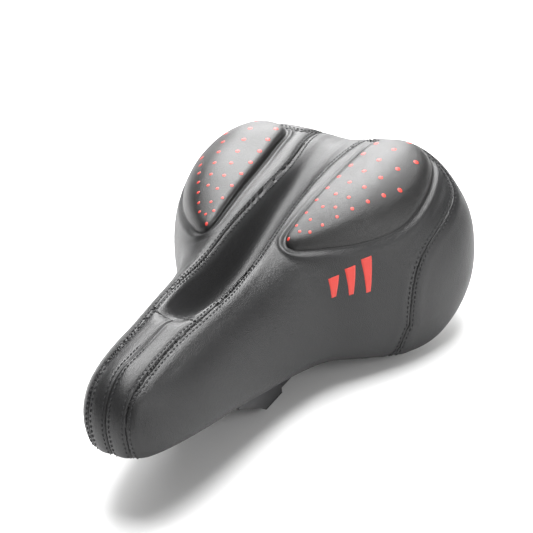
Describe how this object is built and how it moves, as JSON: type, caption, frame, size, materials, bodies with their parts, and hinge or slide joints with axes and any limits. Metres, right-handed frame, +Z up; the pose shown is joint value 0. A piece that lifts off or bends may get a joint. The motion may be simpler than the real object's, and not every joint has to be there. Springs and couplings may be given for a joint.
{
  "type": "bicycle saddle",
  "caption": "Wide padded comfort saddle with raised gel pads and a deep centre groove, sprung on steel rails and held by a tilting seatpost clamp.",
  "frame": {"origin": "centre of the clamp collar's lower mouth, where the seatpost enters", "axes": "+X towards the rider's left, +Y towards the tail with the nose at -Y, +Z up"},
  "size_m": [0.1938, 0.282, 0.1064],
  "materials": {
    "cover_leather": "satin artificial leather with a fine grain",
    "pad_leather": "smooth satin artificial leather, thermoformed",
    "foam": "matt moulded foam",
    "shell_plastic": "matt moulded plastic",
    "black_steel": "satin black paint",
    "zinc_steel": "zinc plated",
    "damper_rubber": "matt rubber"
  },
  "bodies": {
    "post_clamp": {"post_collar": "black_steel"},
    "cradle": {"inner_cup_left": "black_steel", "inner_cup_right": "black_steel", "outer_cup_left": "black_steel", "outer_cup_right": "black_steel", "clamp_washer_left": "zinc_steel", "clamp_washer_right": "zinc_steel", "clamp_nut_left": "zinc_steel", "clamp_nut_right": "zinc_steel", "clamp_bolt": "zinc_steel"},
    "rail_frame": {"rails": "black_steel", "rear_bridge": "black_steel", "damper_left": "damper_rubber", "damper_right": "damper_rubber"},
    "saddle": {"base_shell": "shell_plastic", "foam_core": "foam", "side_panel_left": "cover_leather", "side_panel_right": "cover_leather", "nose_panel_left": "cover_leather", "nose_panel_right": "cover_leather", "groove_panel": "cover_leather", "rear_panel": "cover_leather", "gel_pad_left": "pad_leather", "gel_pad_right": "pad_leather", "socket_body": "shell_plastic", "socket_cap": "shell_plastic", "socket_screw_left": "zinc_steel", "socket_screw_right": "zinc_steel", "damper_stud_left": "zinc_steel", "damper_stud_right": "zinc_steel", "damper_nut_left": "zinc_steel", "damper_nut_right": "zinc_steel"}
  },
  "joints": [
    {"name": "tilt", "type": "hinge", "parent": "post_clamp", "child": "cradle", "pos_m": [0, -0.02, 0.013], "axis": [1, 0, 0], "range_deg": [-20, 20]},
    {"name": "rail_slide", "type": "slide", "parent": "cradle", "child": "rail_frame", "axis": [0, 1, 0], "range_m": [0, 0.03]},
    {"name": "suspension", "type": "hinge", "parent": "rail_frame", "child": "saddle", "pos_m": [0, -0.095, 0.0038], "axis": [-1, 0, 0], "range_deg": [0, 1.8], "stiffness_Nm_per_rad": 2000, "deforming": ["damper_left", "damper_right"]}
  ]
}
